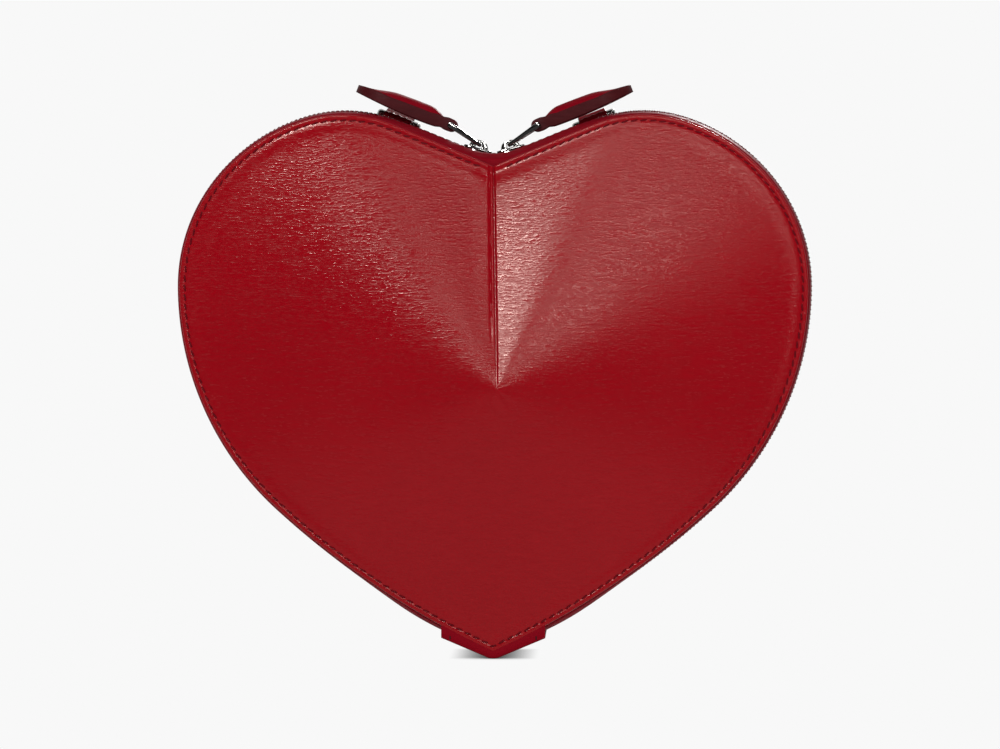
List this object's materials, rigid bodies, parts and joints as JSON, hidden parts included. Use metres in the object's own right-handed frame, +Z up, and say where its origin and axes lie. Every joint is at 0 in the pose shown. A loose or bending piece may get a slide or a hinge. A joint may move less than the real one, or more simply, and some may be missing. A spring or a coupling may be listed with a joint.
{
  "type": "heart shaped purse",
  "caption": "Heart-shaped leather purse with a domed dart-shaped front and back, a zip round its edge, metal sliders with leather pulls and strap rings.",
  "frame": {"origin": "lowest line of the tip tab, midway across and midway through the purse", "axes": "+X to the right seen from the front, +Y from front to back, +Z up"},
  "size_m": [0.2134, 0.054, 0.192],
  "materials": {
    "red_leather": "boarded grain",
    "board": "matt",
    "lining": "woven",
    "zip_tape": "woven",
    "zip_coil": "satin",
    "metal": "polished",
    "padding": "felt"
  },
  "bodies": {
    "back_half": {"back_panel": "red_leather", "back_board": "board", "back_lining": "lining", "back_gusset": "red_leather", "back_zip_tape": "zip_tape", "back_zip_coil": "zip_coil", "back_tip_tab": "red_leather", "slip_pocket": "lining", "left_strap_tab": "red_leather", "right_strap_tab": "red_leather"},
    "front_half": {"front_panel": "red_leather", "front_board": "board", "front_lining": "lining", "front_gusset": "red_leather", "front_zip_tape": "zip_tape", "front_zip_coil": "zip_coil", "front_tip_tab": "red_leather"},
    "right_slider": {"right_slider_body": "metal", "right_slider_bridge": "metal"},
    "right_link": {"right_pull_link": "metal"},
    "right_pull": {"right_pull_leather": "red_leather", "right_pull_core": "padding"},
    "right_ring": {"right_strap_ring": "metal"},
    "left_slider": {"left_slider_body": "metal", "left_slider_bridge": "metal"},
    "left_link": {"left_pull_link": "metal"},
    "left_pull": {"left_pull_leather": "red_leather", "left_pull_core": "padding"},
    "left_ring": {"left_strap_ring": "metal"}
  },
  "joints": [
    {"name": "front_open", "type": "hinge", "parent": "back_half", "child": "front_half", "pos_m": [0, 0, 0], "axis": [1, 0, 0], "range_deg": [0, 60]},
    {"name": "right_slider_run", "type": "slide", "parent": "back_half", "child": "right_slider", "axis": [0.9217, 0, 0.388], "range_m": [0, 0.02]},
    {"name": "right_link_swing", "type": "hinge", "parent": "right_slider", "child": "right_link", "pos_m": [0.00513, 0, 0.17188], "axis": [0, -1, 0], "range_deg": [0, 50]},
    {"name": "right_pull_swing", "type": "hinge", "parent": "right_link", "child": "right_pull", "pos_m": [0.01453, 0, 0.17832], "axis": [0, -1, 0], "range_deg": [0, 18]},
    {"name": "right_ring_swing", "type": "hinge", "parent": "back_half", "child": "right_ring", "pos_m": [0.03316, 0.0176, 0.18082], "axis": [0.9333, 0, 0.3591], "range_deg": [0, 170]},
    {"name": "left_slider_run", "type": "slide", "parent": "back_half", "child": "left_slider", "axis": [-0.9217, 0, 0.388], "range_m": [0, 0.02]},
    {"name": "left_link_swing", "type": "hinge", "parent": "left_slider", "child": "left_link", "pos_m": [-0.00513, 0, 0.17188], "axis": [0, 1, 0], "range_deg": [0, 50]},
    {"name": "left_pull_swing", "type": "hinge", "parent": "left_link", "child": "left_pull", "pos_m": [-0.01453, 0, 0.17832], "axis": [0, 1, 0], "range_deg": [0, 18]},
    {"name": "left_ring_swing", "type": "hinge", "parent": "back_half", "child": "left_ring", "pos_m": [-0.03316, 0.0176, 0.18082], "axis": [0.9333, 0, -0.3591], "range_deg": [0, 170]}
  ]
}
